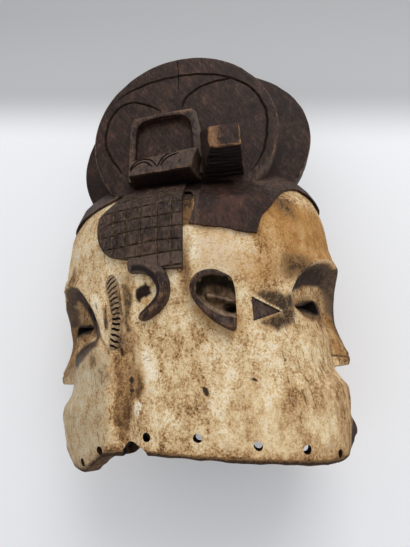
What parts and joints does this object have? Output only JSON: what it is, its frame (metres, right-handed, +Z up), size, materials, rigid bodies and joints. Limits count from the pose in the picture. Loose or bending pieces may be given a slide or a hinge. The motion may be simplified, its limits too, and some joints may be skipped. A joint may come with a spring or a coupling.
{
  "type": "two-faced helmet mask",
  "caption": "Janus helmet mask carved from one block of wood, with a face on each side and a crest of upright discs.",
  "frame": {"origin": "middle of the floor area under the mask as it lies on its far side", "axes": "+X towards the broad right face, +Y from the rim towards the crest, +Z up from the far side to the near side"},
  "size_m": [0.2874, 0.4244, 0.223],
  "materials": {
    "carved_wood": "matte"
  },
  "bodies": {
    "root": {"helmet_mask": "carved_wood"}
  },
  "joints": []
}
